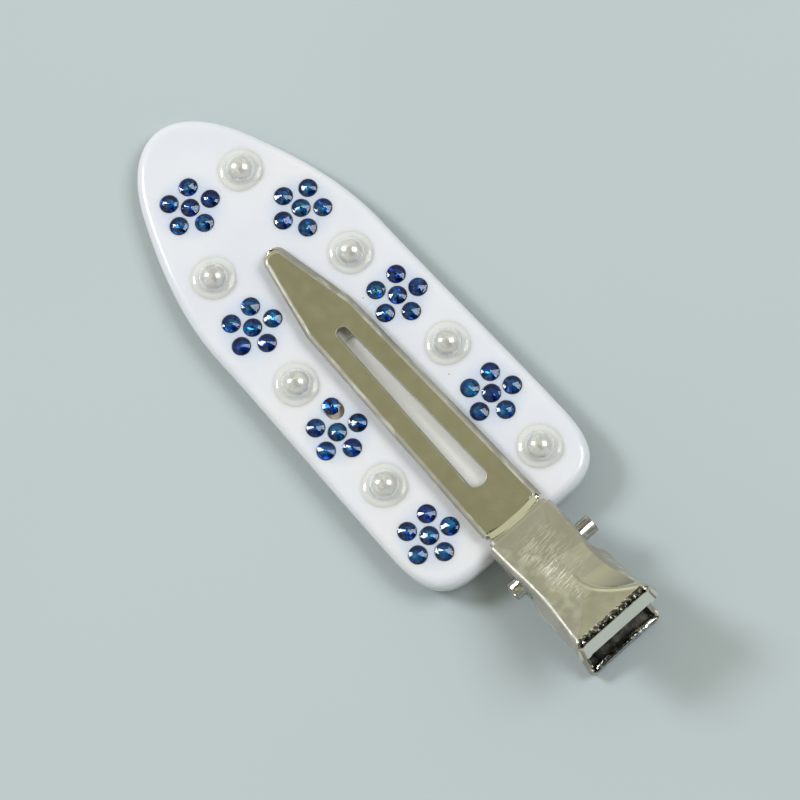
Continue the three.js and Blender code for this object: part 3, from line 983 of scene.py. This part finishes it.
def tab_place(run, step, marks, arm):
    """Place of the sheet's middle as (along, across, outward) of the tab's slope, and the
    direction square to the sheet. The rows fan out round a point near the end."""
    fan = tab_end(arm) - FAN_LENGTH
    side = -1 if step < 0 else 1
    along, across, out_along, out_across = tab_border(run, arm, side)
    count = abs(step)
    share = 1.0 if count >= FLAT_STEPS else EDGE_SHARE * count / (FLAT_STEPS - 1)
    start = min(along, fan)
    here = Vector((start + (along - start) * share, across * share))
    nudge = 0.01
    drop = tab_drop(here.x, here.y, arm["tab"], side)
    lean = Vector((
        (tab_drop(here.x + nudge, here.y, arm["tab"], side) - drop) / nudge,
        (tab_drop(here.x, here.y + nudge, arm["tab"], side) - drop) / nudge,
    ))
    if count == 0:
        lean.y = 0
    if count <= FLAT_STEPS:
        return Vector((here.x, here.y, -drop)), Vector((lean.x, lean.y, 1)).normalized()
    first = math.atan(lean.x * out_along + lean.y * out_across)
    last = wall_angle(run, arm, side)
    angle = first + (last - first) * min(1.0, (count - FLAT_STEPS) / FOLD_STEPS)
    radius = FOLD_RADIUS + (arm["lip_fold"] - FOLD_RADIUS) * out_along
    out = radius * (math.sin(angle) - math.sin(first))
    inward = drop + radius * (math.cos(first) - math.cos(angle))
    if count > FLAT_STEPS + FOLD_STEPS:
        depth = max(0.03, wall_depth(run, marks, arm) - inward)
        depth *= (count - FLAT_STEPS - FOLD_STEPS) / WALL_STEPS
        out += depth / math.tan(angle)
        inward += depth
    pinch = 1 + CORNER_PINCH * 2 * out_along * out_across
    normal = Vector((out_along * math.sin(angle), out_across * math.sin(angle), math.cos(angle)))
    return Vector((along + out_along * out * pinch, across + out_across * out * pinch, -inward)), normal


def tab_row_place(run, step, marks, arm, path):
    """Place and outward direction of the sheet in the tab, seen from the pivot."""
    x, z, turn = path(marks["tab_start"])
    spot, normal = tab_place(run, step, marks, arm)

    def upright(vector):
        return Vector((
            vector.x * math.cos(turn) - vector.z * math.sin(turn),
            vector.y,
            vector.x * math.sin(turn) + vector.z * math.cos(turn),
        ))

    return upright(spot) + Vector((x, 0, z)), upright(normal)


def spread(low, high, count):
    """count places from low up to, and without, high."""
    return [low + (high - low) * i / count for i in range(count)]


def prong_stations(marks):
    """Distances along the sheet at which the prong and the bend get a row of points."""
    tip = [TIP_RADIUS * (1 - math.cos(math.pi / 2 * i / 12)) + 0.01 for i in range(12)]
    return [
        *tip,
        *spread(TIP_RADIUS, SHOULDER - 0.4, 8),
        *spread(SHOULDER - 0.4, SHOULDER + 0.4, 3),
        *spread(SHOULDER + 0.4, marks["bend_start"] - 0.5, 14),
        *spread(marks["bend_start"] - 0.5, marks["tab_start"] + 0.3, 24),
    ]


def tab_stations(arm):
    """Distances along the fold line at which the tab gets a row of points, ending at the middle of
    the lip."""
    corner = tab_end(arm) - CORNER_RADIUS
    turned = corner + CORNER_RADIUS * math.pi / 2
    end = border_length(arm)
    return [
        *spread(0.31, corner, SIDE_ROWS),
        *spread(corner, turned, CORNER_ROWS),
        *spread(turned, end, END_ROWS),
        end,
    ]


def skin_slots(row_count, first_tab_row, end_row, crumpled):
    """Material slots of the faces between rows: bright on the flats, crumpled in the given steps of
    the end's fold and on a fully crumpled end's edge, painted near black as shade inside the tab, and
    dull nickel with painted shade on the folds, walls and edges elsewhere."""
    # Slots 2 and 3 carry painted shade: near black inside the tab, darker nickel on the folds, walls
    # and edges.
    bright, crumple, shaded_inside, shaded_dull = range(4)
    side = 2 * HALF_STEPS + 1
    slots = []
    for row in range(row_count - 1):
        for column in range(2 * (side + 3)):
            inside = side + 3 <= column < 2 * side + 2
            outside = column < side
            edge = not outside and not inside
            away = abs(column + 0.5 - HALF_STEPS)
            end_fold = outside and FLAT_STEPS <= away < FLAT_STEPS + crumpled
            if row >= first_tab_row and inside:
                slots.append(shaded_inside)
            elif row >= end_row and (end_fold or edge and crumpled > FOLD_STEPS):
                slots.append(crumple)
            elif row < end_row and (edge or outside and away > FLAT_STEPS):
                slots.append(shaded_dull)
            else:
                slots.append(bright)
    return slots


def arm_shell(name, arm, materials):
    """The arm as one closed sheet with softened edges, its parts measured from the pivot. The last
    row runs along the middle, where the two halves of the tab's end meet."""
    path, marks = arm_path(arm), arm_marks(arm)
    prong = [("prong", distance) for distance in prong_stations(marks)]
    tab = [("tab", run) for run in tab_stations(arm)]
    rows = []
    for part, distance in prong + tab:
        outer, inner = [], []
        for step in range(-HALF_STEPS, HALF_STEPS + 1):
            if part == "prong":
                spot, normal = prong_place(distance, step, marks, path)
            else:
                spot, normal = tab_row_place(distance, step, marks, arm, path)
            mirror = Vector((1, -1 if step < 0 else 1, 1))
            outer.append((spot + normal * SHEET / 2) * mirror)
            inner.append((spot - normal * SHEET / 2) * mirror)
        inner.reverse()
        high_edge = edge_round(outer[-1], inner[0], outer[-2])
        low_edge = edge_round(inner[-1], outer[0], inner[-2])
        rows.append(outer + high_edge + inner + low_edge)
    count = len(rows[0])
    faces = ring_faces(len(rows), count)
    end_row = len(prong) + SIDE_ROWS + CORNER_ROWS // 2
    slots = skin_slots(len(rows), len(prong), end_row, arm["crumpled"]) + [0]
    faces.append(tuple(reversed(range(count))))
    points = [point for row in rows for point in row]
    piece = new_object(name, points, faces, materials, face_slots=slots)
    weld(piece)
    point_normals_out(piece)
    return piece


def weld(piece):
    """Joins points that lie on each other."""
    work = bmesh.new()
    work.from_mesh(piece.data)
    bmesh.ops.remove_doubles(work, verts=work.verts, dist=0.0005 * MM)
    bmesh.ops.dissolve_degenerate(work, edges=work.edges, dist=0.0002 * MM)
    work.to_mesh(piece.data)
    work.free()


def edge_round(start, end, behind):
    """Three points that bow out between the two skins at the sheet's edge."""
    outward = (start - behind).normalized() * 0.08
    return [start.lerp(end, t) + outward * math.sin(math.pi * t) for t in (0.2, 0.5, 0.8)]


def slot_cutter(name, arm, material):
    """The slot, with its edges broken on both faces."""
    start = arm["slot_start"] + SLOT_TIP_RADIUS
    end = arm["slot_end"] - SLOT_ROOT_RADIUS
    low, high = PRONG_GAP / 2, PRONG_GAP / 2 + SHEET
    soft = 0.09
    levels = [
        (soft * 3, low - soft * 2), (soft, low), (soft * 0.3, low + soft * 0.4), (0, low + soft),
        (0, high - soft), (soft * 0.3, high - soft * 0.4), (soft, high), (soft * 3, high + soft * 2),
    ]
    points = []
    half_turn = 20
    for grow, height in levels:
        for x, radius, first in ((end, SLOT_ROOT_RADIUS, -90), (start, SLOT_TIP_RADIUS, 90)):
            for i in range(half_turn + 1):
                angle = math.radians(first + 180 * i / half_turn)
                reach = radius + grow
                points.append((x + reach * math.cos(angle), reach * math.sin(angle), height))
    faces = tube_faces(len(levels), 2 * (half_turn + 1))
    return new_object(name, points, faces, [material])


def notch_cutters(name, arm, material):
    """The relief notches on both sides of the bend."""
    cutters = []
    for side in (-1, 1):
        center = (arm["bend"] + 0.23, side * NOTCH_ACROSS, -1.0)
        points, faces = lathe([(NOTCH_RADIUS, 0), (NOTCH_RADIUS, 3)], 28, center)
        cutters.append(new_object(f"{name}_notch_{side}", points, faces, [material]))
    return cutters


def pin_cutter(name, material):
    """The holes in the ears."""
    radius = PIN_RADIUS + 0.08
    points, faces = lathe([(radius, -6), (radius, 6)], 40)
    turned = [(x, z, y) for x, y, z in points]
    return new_object(f"{name}_pin_hole", turned, faces, [material])


def make_arm(name, node, arm, body, materials, flipped):
    """An arm, cut and set on the pivot. The lower one is made like the upper and turned over."""
    # The last material is the darker nickel with painted shade, also used for the slot's walls.
    bright, _, _, shaded_dull = materials
    piece = arm_shell(name, arm, materials)
    cutters = [slot_cutter(f"{name}_slot", arm, shaded_dull), pin_cutter(name, bright)]
    cut(piece, cutters + notch_cutters(name, arm, bright))
    if flipped:
        piece.data.transform(Matrix.Rotation(math.pi, 4, "X"))
    piece.data.transform(Matrix.Translation(Vector((PIVOT.x, arm["play"], PIVOT.z)) * MM))
    keep_flats_flat(piece, 27.0)
    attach(piece, body)
    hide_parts(node)


# ------------------------------------------------------------------ pin, spring and glue


def make_pin(nickel):
    """A rolled tube with a slit along its top, its end edges rounded."""
    wall = 0.3
    half_slit = math.radians(6)
    around = 40
    sweep = 2 * math.pi - 2 * half_slit
    angles = [math.pi / 2 + half_slit + sweep * i / around for i in range(around + 1)]
    low, high = PIN_LOW.y, PIN_HIGH.y
    edge = 0.08
    stations = [
        (low, 0.10), (low + edge * 0.4, 0.03), (low + edge, 0),
        (high - edge, 0), (high - edge * 0.4, 0.03), (high, 0.10),
    ]
    points = []
    for y, thinned in stations:
        outside = [(PIN_RADIUS - thinned, angle) for angle in angles]
        inside = [(PIN_RADIUS - wall + thinned, angle) for angle in reversed(angles)]
        for reach, angle in outside + inside:
            points.append((PIVOT.x + reach * math.cos(angle), y, PIVOT.z + reach * math.sin(angle)))
    count = 2 * len(angles)
    faces = ring_faces(len(stations), count)
    for first, order in ((0, 1), (len(points) - count, -1)):
        for i in range(around):
            face = (first + i, first + i + 1, first + count - 2 - i, first + count - 1 - i)
            faces.append(face[::order])
    piece = new_object("pivot_tube", points, faces, [nickel], 40)
    point_normals_out(piece)
    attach(piece, STATIC_BODY)
    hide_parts("pivot_pin")


def spring_line(loop):
    """The middle of the strip, as x, z and the direction square to it: a leg, the loop and the
    other leg, about the pin."""
    leg = math.radians(18.8)
    leg_length = 6.6
    leg_steps, loop_steps = 9, 32
    turn = math.pi / 2 + leg
    upper = []
    for i in range(leg_steps):
        run = leg_length * (1 - i / leg_steps)
        x = loop * math.cos(turn) + run * math.cos(leg)
        upper.append((x, loop * math.sin(turn) + run * math.sin(leg), turn))
    lower = [(x, -z, 2 * math.pi - angle) for x, z, angle in reversed(upper)]
    middle = []
    for i in range(loop_steps + 1):
        angle = turn + (2 * math.pi - 2 * turn) * i / loop_steps
        middle.append((loop * math.cos(angle), loop * math.sin(angle), angle))
    return upper + middle + lower


def make_spring(steel):
    """A strip looped round the pin, a leg against the inside of each tab."""
    low, high = box_mm("spring")
    strip = 0.3
    section = [
        (0.5, -0.47), (0.5, 0.47), (0.4, 0.5), (-0.4, 0.5), (-0.5, 0.47), (-0.5, -0.47),
        (-0.4, -0.5), (0.4, -0.5),
    ]
    line = spring_line(PIVOT.x - low.x - strip / 2)
    points = []
    for x, z, angle in line:
        for out, across in section:
            reach = out * strip
            y = PIVOT.y + across * (high.y - low.y)
            points.append((PIVOT.x + x + reach * math.cos(angle), y,
                           PIVOT.z + z + reach * math.sin(angle)))
    piece = new_object("leaf_spring", points, tube_faces(len(line), len(section)), [steel], 40)
    point_normals_out(piece)
    reach = 1.2
    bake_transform(piece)
    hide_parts("spring")


# ------------------------------------------------------------------ stage, light and camera


def make_floor(material):
    """A tabletop that the plate's nose and the lower tab's end both touch."""
    low, high = box_mm("lower_arm")
    nose_x = PLATE_LOW.x
    slope = math.atan2(low.z, high.x - nose_x)
    size = 3000
    points = []
    for x, y in ((-size, -size), (size, -size), (size, size), (-size, size)):
        points.append((x, y, (x - nose_x) * math.tan(slope) - 0.02))
    floor = new_object("floor", points, [(0, 1, 2, 3)], [material], 0)


CAMERA_HEADING = math.radians(-25.27)
CAMERA_TILT = math.radians(16.2)
CAMERA_ROLL = math.radians(16.5)
CAMERA_DISTANCE = 340
CAMERA_LENS = 151.47
CAMERA_TARGET = Vector((10.35, -0.21, PLATE_TOP))


def camera_axes():
    """The camera's right, up and back directions."""
    ahead = Vector((math.cos(CAMERA_HEADING), math.sin(CAMERA_HEADING), 0))
    across = Vector((math.sin(CAMERA_HEADING), -math.cos(CAMERA_HEADING), 0))
    lift = Vector((0, 0, 1))
    back = ahead * math.sin(CAMERA_TILT) + lift * math.cos(CAMERA_TILT)
    forward = ahead * math.cos(CAMERA_TILT) - lift * math.sin(CAMERA_TILT)
    down = forward * math.cos(CAMERA_ROLL) + across * math.sin(CAMERA_ROLL)
    right = forward * math.sin(CAMERA_ROLL) - across * math.cos(CAMERA_ROLL)
    return right, -down, back


def make_camera():
    """The photograph's view: almost square to the decorated face, tail towards lower right."""
    right, up, back = camera_axes()
    camera = bpy.data.cameras.new("camera")
    camera.lens = CAMERA_LENS
    camera.sensor_width = 36
    holder = bpy.data.objects.new("camera", camera)
    place = (CAMERA_TARGET + back * CAMERA_DISTANCE) * MM
    turn = Matrix((right, up, back)).transposed()
    holder.matrix_world = Matrix.Translation(place) @ turn.to_4x4()
    bpy.context.scene.collection.objects.link(holder)
    bpy.context.scene.camera = holder


def add_panel(name, direction, size, radiance):
    """A square soft box that faces the object, of a given brightness as seen from it."""
    distance = 0.9
    light = bpy.data.lights.new(name, "AREA")
    light.shape = "RECTANGLE"
    light.size = light.size_y = size
    light.energy = radiance * math.pi * size * size
    light.color = (0.95, 0.98, 1.0)
    panel = bpy.data.objects.new(name, light)
    aim = Vector(direction).normalized()
    panel.location = CAMERA_TARGET * MM + aim * distance
    panel.rotation_mode = "QUATERNION"
    panel.rotation_quaternion = aim.to_track_quat("Z", "Y")
    bpy.context.scene.collection.objects.link(panel)


def make_lights():
    """A broad window light, a harder one from the nose's side, and the room round them."""
    add_panel("window", (0.27, 0.525, 0.80), 0.44, 6.0)
    add_panel("key", (-0.64, -0.38, 0.665), 0.24, 23)
    make_world()


def room_light(tree, direction):
    """The room's colour by height: an olive ceiling, paler walls with a bright strip high up and a
    dark line of furniture low down. Heights run from 0 straight down to 1 straight up."""
    stops = [
        (0.0, (0.30, 0.30, 0.30)),
        (0.45, (0.06, 0.06, 0.06)),
        (0.62, (0.42, 0.42, 0.36)),
        (0.74, (0.60, 0.60, 0.45)),
        (0.785, (0.49, 0.475, 0.40)),
        (0.85, (0.42, 0.42, 0.31)),
        (0.88, (0.44, 0.44, 0.33)),
        (0.915, (1.0, 1.02, 0.78)),
        (0.945, (0.44, 0.44, 0.30)),
        (0.97, (0.345, 0.34, 0.21)),
    ]
    ramp = tree.nodes.new("ShaderNodeValToRGB")
    elements = ramp.color_ramp.elements
    for _ in range(len(stops) - 2):
        elements.new(0.5)
    for element, (height, color) in zip(elements, stops):
        element.position = height
        element.color = (*color, 1)
    split = tree.nodes.new("ShaderNodeSeparateXYZ")
    tree.links.new(direction, split.inputs[0])
    height = maths(tree, "ADD", times(tree, split.outputs["Z"], 0.5), 0.5)
    tree.links.new(height, ramp.inputs["Fac"])
    return ramp.outputs["Color"]


def make_world():
    """A dim room, with the dark shape of whoever stands at the tabs' side, a far lamp and a pale
    wall behind the tabs."""
    world = bpy.data.worlds.new("room")
    world.use_nodes = True
    tree = world.node_tree
    direction = tree.nodes.new("ShaderNodeTexCoord").outputs["Generated"]
    color = room_light(tree, direction)
    person = toward(tree, direction, (0.42, 0.02, 0.90), 16, 27)
    color = mix(tree, person, color, (0.02, 0.02, 0.02))
    lamp = toward(tree, direction, (-0.28, -0.855, 0.43), 4, 7)
    color = mix(tree, lamp, color, (1.5, 1.5, 1.45))
    pale_wall = toward(tree, direction, (0.97, 0.12, 0.20), 14, 26)
    color = mix(tree, pale_wall, color, (0.58, 0.66, 0.67))
    background = tree.nodes["Background"]
    tree.links.new(color, background.inputs["Color"])
    background.inputs["Strength"].default_value = 0.95
    bpy.context.scene.world = world


def toward(tree, direction, aim, inner, outer):
    """1 within inner degrees of a direction, falling to 0 at outer."""
    dot = tree.nodes.new("ShaderNodeVectorMath")
    dot.operation = "DOT_PRODUCT"
    tree.links.new(direction, dot.inputs[0])
    dot.inputs[1].default_value = Vector(aim).normalized()
    edges = [math.cos(math.radians(angle)) for angle in (outer, inner)]
    return remap(tree, dot.outputs["Value"], *edges)


# ------------------------------------------------------------------ the whole object

bpy.context.scene.view_settings.view_transform = "Standard"
make_camera()
make_lights()
make_floor(floor_material())

make_plate(resin_material(), seat_material())
make_stones(sapphire_glass(), sapphire_foil())
pearl_rng = random.Random(3)
nacre, gel = nacre_material(), collar_material()
for pearl_node in PEARLS:
    make_pearl(pearl_node, nacre)
    make_collar(pearl_node, pearl_rng, gel)
# The crumpled, inner and dull nickel materials carry painted shade.
arm_materials = [nickel_material(), lip_material(), inner_material(), dull_shaded_nickel()]
make_arm("upper_prong_and_tab", "upper_arm", UPPER, MOVING_BODY, arm_materials, False)
make_arm("lower_prong_and_tab", "lower_arm", LOWER, STATIC_BODY, arm_materials, True)
make_pin(worked_shaded_nickel())
make_spring(spring_material())
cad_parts["glue_layer"].data.materials[0] = adhesive_material()
